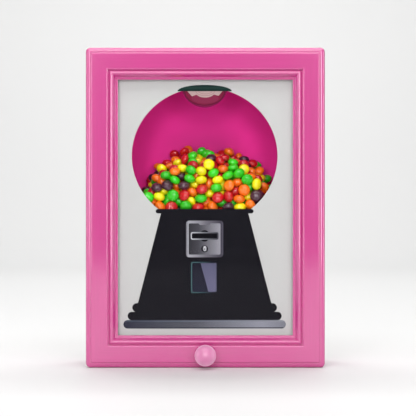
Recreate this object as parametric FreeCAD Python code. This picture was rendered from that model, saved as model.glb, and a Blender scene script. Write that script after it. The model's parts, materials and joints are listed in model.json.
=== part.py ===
"""Framed candy dispenser: a moulded picture frame on a deep case that holds loose candy behind a
printed clear pane. A knob low on the frame pulls a portion slide over a drop hole, and a hinged
lid in the top opens for filling.

Frame of the part, in millimetres: X to the right, Y to the wall, Z up. The origin is on the
resting face, half way across the width and half way between the frame's face and the wall side.
"""

import FreeCAD
import Part
import math
import os

V = FreeCAD.Vector

# ---- driving dimensions -------------------------------------------------------------------
FRAME_W = 254.0
FRAME_H = 340.0
FRAME_D = 80.0  # moulding and case together
RAIL_W = 34.0  # width of the moulding's face
MOULD_D = 15.0  # depth of the moulding
CORNER_R = 5.0  # rounding of the frame's outer corners

CASE_INSET = 3.0  # the case stands back from the moulding's edge at the sides and top
BOARD_T = 10.0  # side and top boards
BASE_T = 7.0  # bottom board
BACK_T = 3.0  # back panel
BACK_LAP = 6.0  # how far the back panel laps onto the boards

PANE_T = 2.5
PANE_DEPTH = 11.0  # from the moulding's face to the pane
PANE_EDGE = 9.5  # from the frame's outer edge to the pane, at the sides and top
PANE_EDGE_LOW = 29.5  # the same at the bottom rail
FILM_T = 0.2  # one layer of printed film

ROD_Z = 15.0  # height of the pull rod's axis
ROD_R = 3.0
RUN_GAP = 0.05  # radial clearance of the rod in its bush
BUSH_R = 5.0
KNOB_R = 11.2
KNOB_DEPTH = 10.4  # the ball is a little shorter than it is wide
KNOB_LENGTH = 25.5
KNOB_BORE = 10.0
KNOB_NECK_R = 5.6
WASHER_T = 1.0
INSERT_R = 4.2  # brass sleeves that hold the rod in the knob and in the slide

THROAT_W = 34.0  # across X
THROAT_L = 18.0  # along Y
THROAT_Y = 7.5  # centre of the throat along Y
SLIDE_WALL = 4.0  # side walls of the slide
SLIDE_NOSE = 8.0  # wood in front of the slide's pocket
SLIDE_TAIL = 20.0  # gate behind the pocket, which shuts the throat when the slide is out
SLIDE_H = 18.0
PORT_LAND = 3.0  # wood between the throat and the drop hole, seen from above
PULL = THROAT_L + PORT_LAND  # travel of the knob
GUIDE_W = 12.0
GAP = 0.3  # clearance of wooden parts that slide past each other

RAMP_T = 5.0
RAMP_DEG = 38.0
FUNNEL_TOP_Z = 62.0
FUNNEL_HALF = 44.0
FUNNEL_MOUTH_HALF = 38.0

LID_W = 112.0  # rebate that the lid lies in
LID_L = 46.0
LID_Y = 10.0  # centre of the lid along Y
LID_T = 5.0
LID_LEDGE = 6.0
LID_GAP = 0.4
HINGE_X = 36.0  # centre of each hinge
HINGE_W = 16.0
KNUCKLE_R = 1.4
LID_LEAF_L = 12.0  # from the hinge's axis to the end of the leaf on the lid
CASE_LEAF_L = 6.8  # the same on the case
HINGE_PIN_R = 0.7
LEAF_T = 0.8

RING_X = 117.0  # centre of each hanger
RING_Z = 285.0  # height of the hanger rings' bars
RING_BAR_R = 1.0
RING_HALF = 7.0
RING_DROP = 12.0
STRAP_W = 8.0
STRAP_L = 22.0
STRAP_T = 0.8

# the print, seen from the front: distances from the centre line and heights above the base
ART_X = -0.8  # the print lies this far off the frame's centre line
GLOBE_A, GLOBE_B, GLOBE_Z = 77.9, 73.3, 225.0  # half width, half height, centre height
RIM_HALF, RIM_Z0, RIM_Z1 = 52.3, 163.7, 168.4
BODY_TOP_HALF, BODY_LOW_HALF = 46.4, 72.6
RING1_HALF, RING1_Z0, RING1_Z1 = 77.3, 58.6, 67.8
RING2_HALF, RING2_Z0, RING2_Z1 = 82.3, 49.7, 58.6
PLINTH_HALF, PLINTH_Z0, PLINTH_Z1 = 86.8, 40.6, 49.7
COIN_W, COIN_H, COIN_Z = 39.7, 39.2, 136.4
SLOT_W, SLOT_H, SLOT_Z, SLOT_DISC_R = 29.7, 8.2, 139.7, 6.1
RETURN_R, RETURN_Z = 3.7, 125.8
DOOR_W, DOOR_H, DOOR_Z = 28.2, 33.3, 95.3
CAP_HALF, CAP_H, CAP_Z0 = 29.0, 6.8, 294.3
SHINE_HALF, SHINE_DEPTH = 23.9, 17.4

# ---- planes that follow from them ------------------------------------------------------------
FRONT_Y = -FRAME_D / 2
CASE_Y = FRONT_Y + MOULD_D  # where the case meets the moulding
REAR_Y = FRAME_D / 2
BACK_Y = REAR_Y - BACK_T  # inner face of the back panel
PANE_Y = FRONT_Y + PANE_DEPTH
FILM_Y = PANE_Y + PANE_T
FILM_LAYERS = 4
FILM_END_Y = FILM_Y + FILM_LAYERS * FILM_T
CASE_HALF = FRAME_W / 2 - CASE_INSET
INNER_HALF = CASE_HALF - BOARD_T
CASE_TOP = FRAME_H - CASE_INSET
INNER_TOP = CASE_TOP - BOARD_T
THROAT_Y0, THROAT_Y1 = THROAT_Y - THROAT_L / 2, THROAT_Y + THROAT_L / 2
SLIDE_HALF = THROAT_W / 2 + SLIDE_WALL
SLIDE_Y0, SLIDE_Y1 = THROAT_Y0 - SLIDE_NOSE, THROAT_Y1 + SLIDE_TAIL
GUIDE_TOP = BASE_T + SLIDE_H + GAP
RECESS_Y = CASE_Y - 7.5  # bottom of the recess behind the bottom rail
LID_Y0, LID_Y1 = LID_Y - LID_L / 2, LID_Y + LID_L / 2
LID_Z0 = CASE_TOP - LID_T
HINGE_AXIS_Y = LID_Y1 - LID_GAP / 2
HINGE_AXIS_Z = CASE_TOP + KNUCKLE_R + 0.15
RING_AXIS_Y = REAR_Y + 1.9
RAMP_SLOPE = math.tan(math.radians(RAMP_DEG))
FILL_GAP = 0.4  # the candy's solid stays this far from the walls

nodes = {}


# ---- small helpers ---------------------------------------------------------------------------
def box(x0, x1, y0, y1, z0, z1):
    return Part.makeBox(x1 - x0, y1 - y0, z1 - z0, V(x0, y0, z0))


def rod(r, start, end):
    """A round bar from one point to another."""
    axis = V(*end) - V(*start)
    return Part.makeCylinder(r, axis.Length, V(*start), axis)


def face_of(edges):
    return Part.Face(Part.Wire(edges))


def line(a, b):
    return Part.LineSegment(a, b).toShape()


def arc(a, b, c):
    return Part.Arc(a, b, c).toShape()


def plate_xz(points, y0, y1):
    """A plate with a straight-sided outline in X and Z, between two planes of Y."""
    outline = [V(x, y0, z) for x, z in points]
    return Part.Face(Part.makePolygon(outline + outline[:1])).extrude(V(0, y1 - y0, 0))


def round_rect_xz(x0, x1, z0, z1, r, y0, y1):
    """A plate in X and Z with rounded corners, between two planes of Y."""
    plate = box(x0, x1, y0, y1, z0, z1)
    upright = [e for e in plate.Edges if e.BoundBox.YLength > 1e-6]
    return plate.makeFillet(r, upright)


def stadium(half, z0, z1, y0, y1):
    """A bar across the print with round ends."""
    r = (z1 - z0) / 2 * 0.999
    return round_rect_xz(ART_X - half, ART_X + half, z0, z1, r, y0, y1)


def turned(profile, axis_start, axis_dir):
    """A solid turned about an axis from (radius, distance along the axis) points."""
    points = [V(r, 0, d) for r, d in profile]
    solid = Part.Face(Part.makePolygon(points + points[:1])).revolve(V(0, 0, 0), V(0, 0, 1), 360)
    turn = FreeCAD.Rotation(V(0, 0, 1), V(*axis_dir))
    solid.Placement = FreeCAD.Placement(V(*axis_start), turn)
    return solid


def screw(head_r, head_t, shank_r, length, tip, direction, countersunk=True):
    """A wood screw: its head's outer face is at tip, and it drives along direction."""
    if countersunk:
        head = [(0, 0), (head_r, 0), (head_r, 0.3), (shank_r, head_t)]
    else:
        head = [(0, 0), (head_r * 0.6, 0), (head_r, 0.5), (head_r, head_t), (shank_r, head_t)]
    point = [(shank_r, length - 2 * shank_r), (0, length)]
    solid = turned(head + point, tip, direction)
    slot_w = 0.7
    slot = box(-head_r, head_r, -slot_w / 2, slot_w / 2, -1, head_t * 0.45)
    turn = FreeCAD.Rotation(V(0, 0, 1), V(*direction))
    cross = slot.fuse(slot.rotated(V(0, 0, 0), V(0, 0, 1), 90))
    cross.Placement = FreeCAD.Placement(V(*tip), turn)
    return solid.cut(cross)


def group(shapes):
    return Part.makeCompound(shapes)


def mirrored(shape):
    return shape.mirror(V(0, 0, 0), V(1, 0, 0))


def keep(name, shape):
    nodes[name] = shape


# ---- the moulded frame -----------------------------------------------------------------------
def moulding_outline(place):
    """The moulding's section. place(u, v) gives a point u in from the outer edge and v back from
    the face. The outer round and step come from frame_envelope."""
    return face_of(
        [
            line(place(0, MOULD_D), place(0, 0)),
            line(place(0, 0), place(22.2, 0)),
            arc(place(22.2, 0), place(23.4, 0.45), place(24.0, 1.5)),  # eased edge of the flat
            line(place(24.0, 1.5), place(24.0, 2.7)),
            line(place(24.0, 2.7), place(24.8, 2.7)),  # quirk
            arc(place(24.8, 2.7), place(26.8, 1.2), place(29.4, 2.6)),  # bead
            line(place(29.4, 2.6), place(31.0, 5.4)),
            arc(place(31.0, 5.4), place(31.6, 6.5), place(32.4, 6.9)),  # cove
            line(place(32.4, 6.9), place(33.2, 6.9)),
            arc(place(33.2, 6.9), place(33.77, 7.13), place(RAIL_W, 7.7)),  # lip
            line(place(RAIL_W, 7.7), place(RAIL_W, MOULD_D)),
            line(place(RAIL_W, MOULD_D), place(0, MOULD_D)),
        ]
    )


def frame_envelope():
    """The frame's outer shape: a quarter round, a shelf, and a smaller round up to the flat."""
    round_r, shelf_v, shelf_u, step_r = 4.2, 1.7, 5.4, 1.5
    half = FRAME_W / 2

    def front_rounded(inset, corner, y0, r):
        plate = round_rect_xz(
            inset - half, half - inset, inset, FRAME_H - inset, corner, y0, CASE_Y
        )
        front = [e for e in plate.Edges if e.BoundBox.YMax < y0 + 1e-4]
        return plate.makeFillet(r, front)

    outer = front_rounded(0, CORNER_R, FRONT_Y + shelf_v, round_r)
    flat = front_rounded(shelf_u, 2.2, FRONT_Y, step_r)
    return outer.fuse(flat)


def frame_rails():
    half = FRAME_W / 2
    envelope = frame_envelope()
    rebate = box(
        PANE_EDGE - half, half - PANE_EDGE, PANE_Y, CASE_Y + 1, PANE_EDGE_LOW, FRAME_H - PANE_EDGE
    )
    places = {
        "frame_rail_top": (lambda u, v: V(-half, FRONT_Y + v, FRAME_H - u), V(FRAME_W, 0, 0)),
        "frame_rail_bottom": (lambda u, v: V(-half, FRONT_Y + v, u), V(FRAME_W, 0, 0)),
        "frame_rail_left": (lambda u, v: V(-half + u, FRONT_Y + v, 0), V(0, 0, FRAME_H)),
        "frame_rail_right": (lambda u, v: V(half - u, FRONT_Y + v, 0), V(0, 0, FRAME_H)),
    }
    reach = 60.0  # the mitre planes are drawn this far in
    mitres = {
        "frame_rail_top": [
            (-half, FRAME_H), (half, FRAME_H), (half - reach, FRAME_H - reach),
            (reach - half, FRAME_H - reach),
        ],
        "frame_rail_bottom": [
            (-half, 0), (half, 0), (half - reach, reach), (reach - half, reach),
        ],
        "frame_rail_left": [
            (-half, 0), (-half, FRAME_H), (reach - half, FRAME_H - reach), (reach - half, reach),
        ],
        "frame_rail_right": [
            (half, 0), (half, FRAME_H), (half - reach, FRAME_H - reach), (half - reach, reach),
        ],
    }
    recess = box(-SLIDE_HALF - 2, SLIDE_HALF + 2, RECESS_Y, CASE_Y + 1, 5.0, GUIDE_TOP + 1.5)
    bush_hole = rod(BUSH_R, (0, FRONT_Y - 1, ROD_Z), (0, RECESS_Y + 1, ROD_Z))
    holes = group(corner_nails() + dowels_frame())
    for name, (place, length) in places.items():
        bar = moulding_outline(place).extrude(length)
        wedge = plate_xz(mitres[name], FRONT_Y - 1, CASE_Y + 1)
        rail = bar.common(wedge).common(envelope).cut(rebate)
        if name == "frame_rail_bottom":
            rail = rail.cut(recess).cut(bush_hole)
        keep(name, rail.cut(holes))


def corner_nails():
    """Folded steel fasteners pressed in from behind across each mitre, two at a corner."""
    leg, sheet, depth = 6.0, 0.8, 9.0
    nails = []
    for sx in (-1, 1):
        for top in (False, True):
            for inset in (4.2, 8.0):
                x = sx * (FRAME_W / 2 - inset)
                z = FRAME_H - inset if top else inset
                # the fold lies on the mitre and both legs lean in from it
                flat = box(0, leg, CASE_Y - depth, CASE_Y, -sheet / 2, sheet / 2)
                lean = 45 if top else -45
                legs = [
                    flat.rotated(V(0, 0, 0), V(0, 1, 0), lean + spread)
                    for spread in (-35, 35)
                ]
                nail = legs[0].fuse(legs[1])
                if sx > 0:
                    nail = nail.mirror(V(0, 0, 0), V(1, 0, 0))
                nail.translate(V(x, 0, z))
                nails.append(nail)
    return nails


def dowels_frame():
    """Dowels that peg the moulding to the front edges of the case boards."""
    r, half_length, inset = 2.0, 7.0, 6.3
    x_side, z_top = FRAME_W / 2 - inset, FRAME_H - inset
    spots = [(sx * x_side, z) for sx in (-1, 1) for z in (70.0, 170.0, 270.0)]
    spots += [(-70.0, z_top), (70.0, z_top)]
    spots += [(-80.0, BASE_T / 2), (80.0, BASE_T / 2)]
    return [rod(r, (x, CASE_Y - half_length, z), (x, CASE_Y + half_length, z)) for x, z in spots]


# ---- pane and print --------------------------------------------------------------------------
def pane_outline(inset):
    half = FRAME_W / 2 - PANE_EDGE - inset
    return -half, half, PANE_EDGE_LOW + inset, FRAME_H - PANE_EDGE - inset


def film_layer(n):
    """The front and rear planes of one film layer, counted from the pane."""
    return FILM_Y + n * FILM_T, FILM_Y + (n + 1) * FILM_T


def pane_and_print():
    x0, x1, z0, z1 = pane_outline(0.3)
    keep("front_pane", box(x0, x1, PANE_Y, FILM_Y, z0, z1))

    y0, y1 = film_layer(3)
    globe = Part.Ellipse(
        V(ART_X + GLOBE_A, y0, GLOBE_Z), V(ART_X, y0, GLOBE_Z + GLOBE_B), V(ART_X, y0, GLOBE_Z)
    )
    window = Part.Face(Part.Wire([globe.toShape()])).extrude(V(0, FILM_T, 0))
    keep("background_print", box(x0, x1, y0, y1, z0, z1).cut(window))

    y0, y1 = film_layer(2)
    trapezoid = plate_xz(
        [
            (ART_X - BODY_TOP_HALF, RIM_Z0 + 1), (ART_X + BODY_TOP_HALF, RIM_Z0 + 1),
            (ART_X + BODY_LOW_HALF, RING1_Z0 + 4), (ART_X - BODY_LOW_HALF, RING1_Z0 + 4),
        ],
        y0,
        y1,
    )
    body = trapezoid.fuse(
        [
            stadium(RIM_HALF, RIM_Z0, RIM_Z1, y0, y1),
            stadium(RING1_HALF, RING1_Z0 - 0.2, RING1_Z1, y0, y1),
            stadium(RING2_HALF, RING2_Z0, RING2_Z1, y0, y1),
        ]
    )
    plinth = stadium(PLINTH_HALF, PLINTH_Z0, PLINTH_Z1, y0, y1)
    keep("machine_body_print", body.cut(plinth).removeSplitter())
    keep("base_plate_print", plinth)

    cap = Part.Ellipse(
        V(ART_X + CAP_HALF, y0, CAP_Z0), V(ART_X, y0, CAP_Z0 + CAP_H), V(ART_X, y0, CAP_Z0)
    )
    dome = Part.Face(Part.Wire([cap.toShape()])).extrude(V(0, FILM_T, 0))
    upper = box(ART_X - 40, ART_X + 40, y0, y1, CAP_Z0, CAP_Z0 + 20)
    keep("cap_print", dome.common(upper))

    low = V(ART_X, y0, CAP_Z0 - SHINE_DEPTH)
    left, right = V(ART_X - SHINE_HALF, y0, CAP_Z0), V(ART_X + SHINE_HALF, y0, CAP_Z0)
    shine = face_of([arc(left, low, right), line(right, left)]).extrude(V(0, FILM_T, 0))
    keep("globe_shine_print", shine)

    y0, y1 = film_layer(1)
    keep(
        "coin_plate_print",
        round_rect_xz(
            ART_X - COIN_W / 2, ART_X + COIN_W / 2, COIN_Z - COIN_H / 2, COIN_Z + COIN_H / 2,
            3.5, y0, y1,
        ),
    )
    door_x = ART_X - 0.4
    keep(
        "chute_door_print",
        round_rect_xz(
            door_x - DOOR_W / 2, door_x + DOOR_W / 2, DOOR_Z - DOOR_H / 2, DOOR_Z + DOOR_H / 2,
            2.0, y0, y1,
        ),
    )
    y0, y1 = film_layer(0)
    slot = round_rect_xz(
        ART_X - SLOT_W / 2, ART_X + SLOT_W / 2, SLOT_Z - SLOT_H / 2, SLOT_Z + SLOT_H / 2, 2.0, y0, y1
    )
    keep("coin_slot_print", slot.fuse(rod(SLOT_DISC_R, (ART_X, y0, SLOT_Z), (ART_X, y1, SLOT_Z))))
    keep("coin_return_print", rod(RETURN_R, (ART_X, y0, RETURN_Z), (ART_X, y1, RETURN_Z)))

    x0, x1, z0, z1 = pane_outline(0.5)
    inner_x = INNER_HALF + 1
    tape = box(x0, x1, FILM_END_Y, CASE_Y, z0, z1)
    hole = box(-inner_x, inner_x, FILM_END_Y - 1, CASE_Y + 1, z0 - 1, INNER_TOP + 1)
    keep("pane_gasket", tape.cut(hole))


# ---- case ------------------------------------------------------------------------------------
def case_boards():
    lap = INNER_HALF + BACK_LAP
    back_rebate = box(-lap, lap, BACK_Y, REAR_Y + 1, BASE_T - 4, INNER_TOP + BACK_LAP)
    pegs = group(dowels_case() + dowels_frame() + hanger_screws() + back_screws())

    side = box(INNER_HALF, CASE_HALF, CASE_Y, REAR_Y, 0, CASE_TOP)
    outer_edges = [
        e
        for e in side.Edges
        if e.BoundBox.XMin > CASE_HALF - 1e-4
        and (e.BoundBox.YMin > REAR_Y - 1e-4 or e.BoundBox.ZMin > CASE_TOP - 1e-4)
    ]
    side = side.makeFillet(2.0, outer_edges).cut(back_rebate)
    keep("case_side_right", side.cut(pegs))
    keep("case_side_left", mirrored(side).cut(pegs))

    top = box(-INNER_HALF, INNER_HALF, CASE_Y, REAR_Y, INNER_TOP, CASE_TOP).cut(back_rebate)
    lid_rebate = box(-LID_W / 2, LID_W / 2, LID_Y0, LID_Y1, LID_Z0, CASE_TOP + 1)
    mouth = box(
        LID_LEDGE - LID_W / 2, LID_W / 2 - LID_LEDGE, LID_Y0 + LID_LEDGE, LID_Y1 - LID_LEDGE,
        INNER_TOP - 1, CASE_TOP,
    )
    upright = [e for e in mouth.Edges if e.BoundBox.ZLength > 1]
    mouth = mouth.makeFillet(5.0, upright)
    scoop = rod(11.0, (0, LID_Y0 + 2, LID_Z0), (0, LID_Y0 + 2, CASE_TOP + 1))
    top = top.cut(lid_rebate).cut(mouth).cut(scoop)
    screws = group(case_leaf_screws() + case_magnet_discs())
    keep("case_top", top.cut(pegs).cut(screws))

    base = box(-INNER_HALF, INNER_HALF, CASE_Y, REAR_Y, 0, BASE_T).cut(back_rebate)
    drop = box(-THROAT_W / 2, THROAT_W / 2, *drop_hole_y(), -1, BASE_T + 1)
    drop = drop.makeFillet(3.0, [e for e in drop.Edges if e.BoundBox.ZLength > 1])
    keep("case_bottom", base.cut(drop).cut(pegs).cut(group(mechanism_screws())))

    keep("case_dowels", group(dowels_case()))
    keep("frame_dowels", group(dowels_frame()))
    keep("frame_corner_nails", group(corner_nails()))


def drop_hole_y():
    """The drop hole lies under the slide's pocket when the knob is fully out."""
    return THROAT_Y0 - PULL + 0.5, THROAT_Y1 - PULL


def dowels_case():
    """Dowels through the corners of the case, two at each."""
    r, into_side, into_board = 2.5, 6.0, 18.0
    z_top = (INNER_TOP + CASE_TOP) / 2
    pegs = []
    for sx in (-1, 1):
        for y in (CASE_Y + 14, REAR_Y - 14):
            for z, peg_r in ((z_top, r), (BASE_T / 2, 2.0)):
                start = (sx * (INNER_HALF + into_side), y, z)
                end = (sx * (INNER_HALF - into_board), y, z)
                pegs.append(rod(peg_r, start, end))
    return pegs


def corner_blocks():
    """Three-cornered glue blocks in the four corners of the case."""
    leg = 16.0
    blocks = []
    for sx in (-1, 1):
        for corner_z, sz in ((BASE_T, 1), (INNER_TOP, -1)):
            x = sx * INNER_HALF
            points = [(x, corner_z), (x - sx * leg, corner_z), (x, corner_z + sz * leg)]
            blocks.append(plate_xz(points, CASE_Y + 2, CASE_Y + 26))
    keep("corner_blocks", group(blocks))


def back_panel():
    half = INNER_HALF + BACK_LAP - 0.4
    z0, z1 = BASE_T - 4 + 0.4, INNER_TOP + BACK_LAP - 0.4
    panel = box(-half, half, BACK_Y, REAR_Y, z0, z1)
    keep("back_panel", panel.cut(group(back_screws() + hanger_screws())))
    keep("back_panel_screws", group(back_screws()))


def back_screws():
    """Pan-head screws round the back panel, into the boards' rebates."""
    inset = BACK_LAP / 2 + 0.2
    x_side, z_top = INNER_HALF + inset, INNER_TOP + inset
    head_t = 1.5
    spots = [(sx * x_side, z) for sx in (-1, 1) for z in (40.0, 165.0, 250.0)]
    spots += [(-60.0, z_top), (60.0, z_top)]
    return [
        screw(2.6, head_t, 1.1, 11.0, (x, REAR_Y + head_t, z), (0, -1, 0), countersunk=False)
        for x, z in spots
    ]


# ---- hopper and portion slide ----------------------------------------------------------------
def ramp_z(x):
    """Height of the ramp's upper face, x out from the centre."""
    z_end = FUNNEL_TOP_Z + RAMP_T / math.cos(math.radians(RAMP_DEG))
    return z_end + (x - FUNNEL_HALF) * RAMP_SLOPE


def hopper():
    drop = RAMP_T / math.cos(math.radians(RAMP_DEG))
    low_x, high_x = FUNNEL_MOUTH_HALF, INNER_HALF
    ramp = plate_xz(
        [
            (low_x, FUNNEL_TOP_Z), (low_x, ramp_z(low_x)), (high_x, ramp_z(high_x)),
            (high_x, ramp_z(high_x) - drop), (FUNNEL_HALF, FUNNEL_TOP_Z),
        ],
        CASE_Y,
        BACK_Y - 0.3,
    )
    cleat_w = 16.0
    cleat_z = ramp_z(high_x - cleat_w) - drop
    cleat = plate_xz(
        [(high_x, cleat_z), (high_x, ramp_z(high_x) - drop), (high_x - cleat_w, cleat_z)],
        CASE_Y + 4,
        BACK_Y - 4,
    )
    keep("hopper_ramp_right", ramp)
    keep("hopper_ramp_left", mirrored(ramp))
    keep("ramp_cleat_right", cleat)
    keep("ramp_cleat_left", mirrored(cleat))

    y0, y1 = CASE_Y, BACK_Y - 0.4
    block = box(-FUNNEL_HALF, FUNNEL_HALF, y0, y1, GUIDE_TOP, FUNNEL_TOP_Z)
    keep("throat_funnel", block.cut(funnel_space(0, 2, 2)).cut(group(mechanism_screws())))


def rect_wire(x0, x1, y0, y1, z):
    corners = [V(x0, y0, z), V(x1, y0, z), V(x1, y1, z), V(x0, y1, z)]
    return Part.makePolygon(corners + corners[:1])


def funnel_space(gap, below, above):
    """The hollow of the funnel shrunk by gap, run on below its throat and above its mouth."""
    neck_z = GUIDE_TOP + 4
    half, mouth = THROAT_W / 2 - gap, FUNNEL_MOUTH_HALF - gap
    y0, y1 = THROAT_Y0 + gap, THROAT_Y1 - gap
    mouth_y0, mouth_y1 = CASE_Y + 3 + gap, BACK_Y - 3.4 - gap
    slopes = Part.makeLoft(
        [
            rect_wire(-half, half, y0, y1, neck_z),
            rect_wire(-mouth, mouth, mouth_y0, mouth_y1, FUNNEL_TOP_Z),
        ],
        True,
        True,
    )
    neck = box(-half, half, y0, y1, GUIDE_TOP - below, neck_z)
    collar = box(-mouth, mouth, mouth_y0, mouth_y1, FUNNEL_TOP_Z, FUNNEL_TOP_Z + above)
    return slopes.fuse([neck, collar]).removeSplitter()


def mechanism_screws():
    """Long screws up through the bottom board and the guides into the funnel block."""
    x = SLIDE_HALF + GAP + GUIDE_W / 2
    spots = [(sx * x, y) for sx in (-1, 1) for y in (CASE_Y + 8, BACK_Y - 8)]
    return [screw(3.6, 2.4, 1.7, 34.0, (x, y, 0), (0, 0, 1)) for x, y in spots]


def slide_guides():
    x0 = SLIDE_HALF + GAP
    guide = box(x0, x0 + GUIDE_W, CASE_Y, BACK_Y - 0.4, BASE_T, GUIDE_TOP)
    screws = group(mechanism_screws())
    keep("slide_guide_right", guide.cut(screws))
    keep("slide_guide_left", mirrored(guide).cut(screws))
    keep("mechanism_screws", screws)


def slide_unit():
    pocket = box(-THROAT_W / 2, THROAT_W / 2, THROAT_Y0, THROAT_Y1, BASE_T - 1, GUIDE_TOP)
    pocket = pocket.makeFillet(3.0, [e for e in pocket.Edges if e.BoundBox.ZLength > 1])
    block = box(-SLIDE_HALF, SLIDE_HALF, SLIDE_Y0, SLIDE_Y1, BASE_T, BASE_T + SLIDE_H)
    block = block.makeFillet(1.0, [e for e in block.Edges if e.BoundBox.ZLength > 1])
    insert_hole = rod(INSERT_R, (0, SLIDE_Y0 - 1, ROD_Z), (0, SLIDE_Y0 + SLIDE_NOSE, ROD_Z))
    keep("portion_slide", block.cut(pocket).cut(insert_hole))

    def insert(y0, y1):
        sleeve = rod(INSERT_R, (0, y0, ROD_Z), (0, y1, ROD_Z))
        return sleeve.cut(rod(ROD_R, (0, y0 - 1, ROD_Z), (0, y1 + 1, ROD_Z)))

    keep("slide_insert", insert(SLIDE_Y0, SLIDE_Y0 + SLIDE_NOSE - 0.5))
    knob_y = FRONT_Y - WASHER_T
    keep("knob_insert", insert(knob_y - KNOB_BORE + 0.5, knob_y - 0.5))
    keep(
        "pull_rod",
        rod(ROD_R, (0, knob_y - KNOB_BORE + 1, ROD_Z), (0, SLIDE_Y0 + SLIDE_NOSE - 1, ROD_Z)),
    )
    keep("knob", knob(knob_y))
    washer = rod(7.0, (0, knob_y, ROD_Z), (0, FRONT_Y, ROD_Z))
    keep("knob_washer", washer.cut(rod(ROD_R + 0.1, (0, knob_y - 1, ROD_Z), (0, 0, ROD_Z))))

    barrel = rod(BUSH_R, (0, FRONT_Y, ROD_Z), (0, RECESS_Y, ROD_Z))
    flange = rod(7.5, (0, RECESS_Y, ROD_Z), (0, RECESS_Y + 1.3, ROD_Z))
    bore = rod(ROD_R + RUN_GAP, (0, FRONT_Y - 1, ROD_Z), (0, RECESS_Y + 2, ROD_Z))
    keep("rod_bush", barrel.fuse(flange).cut(bore).removeSplitter())

    portion = box(
        FILL_GAP - THROAT_W / 2, THROAT_W / 2 - FILL_GAP, THROAT_Y0 + FILL_GAP,
        THROAT_Y1 - FILL_GAP, BASE_T, BASE_T + SLIDE_H - 0.5,
    )
    upright = [e for e in portion.Edges if e.BoundBox.ZLength > 1]
    keep("candy_portion", portion.makeFillet(3.0, upright))


def knob(base_y):
    """A turned ball knob: base bead, neck and a slightly flattened ball."""

    def p(r, d):
        return V(r, base_y - d, ROD_Z)

    centre = KNOB_LENGTH - KNOB_DEPTH
    oval = Part.Ellipse(p(KNOB_R, centre), p(0, KNOB_LENGTH), p(0, centre))
    neck_angle = math.acos(KNOB_NECK_R / KNOB_R * 1.06)
    ball = Part.ArcOfEllipse(oval, -neck_angle, math.pi / 2).toBSpline()
    edges = [
        line(p(0, 0), p(6.6, 0)),
        arc(p(6.6, 0), p(7.4, 0.9), p(6.6, 1.9)),
        arc(p(6.6, 1.9), p(KNOB_NECK_R, 3.4), ball.StartPoint),
        ball.toShape(),
        line(p(0, KNOB_LENGTH), p(0, 0)),
    ]
    solid = face_of(edges).revolve(V(0, base_y, ROD_Z), V(0, 1, 0), 360)
    bore = rod(INSERT_R, (0, base_y + 1, ROD_Z), (0, base_y - KNOB_BORE, ROD_Z))
    return solid.cut(bore)


def candy_fill():
    """The loose candy as one plain heap: the funnel's hollow, the ramps, and the crown above."""
    side_x = INNER_HALF - FILL_GAP
    mouth = FUNNEL_MOUTH_HALF - FILL_GAP
    lift = FILL_GAP / math.cos(math.radians(RAMP_DEG))
    crown_half, crown_z, side_z = 26.0, 236.0, 172.0
    right = [
        (mouth, FUNNEL_TOP_Z + FILL_GAP),
        (mouth, ramp_z(FUNNEL_MOUTH_HALF) + lift),
        (side_x, ramp_z(INNER_HALF) + lift),
        (side_x, side_z),
        (crown_half, crown_z),
    ]
    left = [(-x, z) for x, z in reversed(right)]
    heap = plate_xz(right + left, CASE_Y + FILL_GAP, BACK_Y - FILL_GAP)
    low = funnel_space(FILL_GAP, -FILL_GAP, FILL_GAP)
    keep("candy_fill", heap.fuse(low).removeSplitter())


# ---- filling lid -----------------------------------------------------------------------------
def knuckle(x0, x1, bore_r):
    tube = rod(KNUCKLE_R, (x0, HINGE_AXIS_Y, HINGE_AXIS_Z), (x1, HINGE_AXIS_Y, HINGE_AXIS_Z))
    hole = rod(bore_r, (x0 - 1, HINGE_AXIS_Y, HINGE_AXIS_Z), (x1 + 1, HINGE_AXIS_Y, HINGE_AXIS_Z))
    return tube, hole


def hinge_leaf(x, sy, knuckles, length, bore_r):
    """One leaf: a plate that lies sy side of the axis, with knuckles over the given stretches."""
    z0, z1 = CASE_TOP, CASE_TOP + LEAF_T
    near, far = sorted((HINGE_AXIS_Y + sy * 2.2, HINGE_AXIS_Y + sy * length))
    leaf = box(x - HINGE_W / 2, x + HINGE_W / 2, near, far, z0, z1)
    holes = []
    for x0, x1 in knuckles:
        tube, hole = knuckle(x + x0, x + x1, bore_r)
        tongue_y = sorted((HINGE_AXIS_Y, HINGE_AXIS_Y + sy * 2.3))
        leaf = leaf.fuse(box(x + x0, x + x1, *tongue_y, z0, z1)).fuse(tube)
        holes.append(hole)
    return leaf.removeSplitter().cut(group(holes))


def leaf_screws(sy, y):
    spots = [side * HINGE_X + dx for side in (-1, 1) for dx in (-4.6, 4.6)]
    head = CASE_TOP + LEAF_T
    return [screw(1.8, 1.0, 0.8, 4.2, (x, y, head), (0, 0, -1)) for x in spots]


def case_leaf_screws():
    return leaf_screws(1, HINGE_AXIS_Y + 4.6)


def lid_leaf_screws():
    return leaf_screws(-1, HINGE_AXIS_Y - 7.6)


def magnet_discs(z0, z1):
    x = LID_W / 2 - LID_LEDGE / 2
    return [rod(2.0, (sx * x, LID_Y, z0), (sx * x, LID_Y, z1)) for sx in (-1, 1)]


def case_magnet_discs():
    return magnet_discs(LID_Z0 - 2, LID_Z0)


def lid_magnet_discs():
    return magnet_discs(LID_Z0, LID_Z0 + 2)


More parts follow.
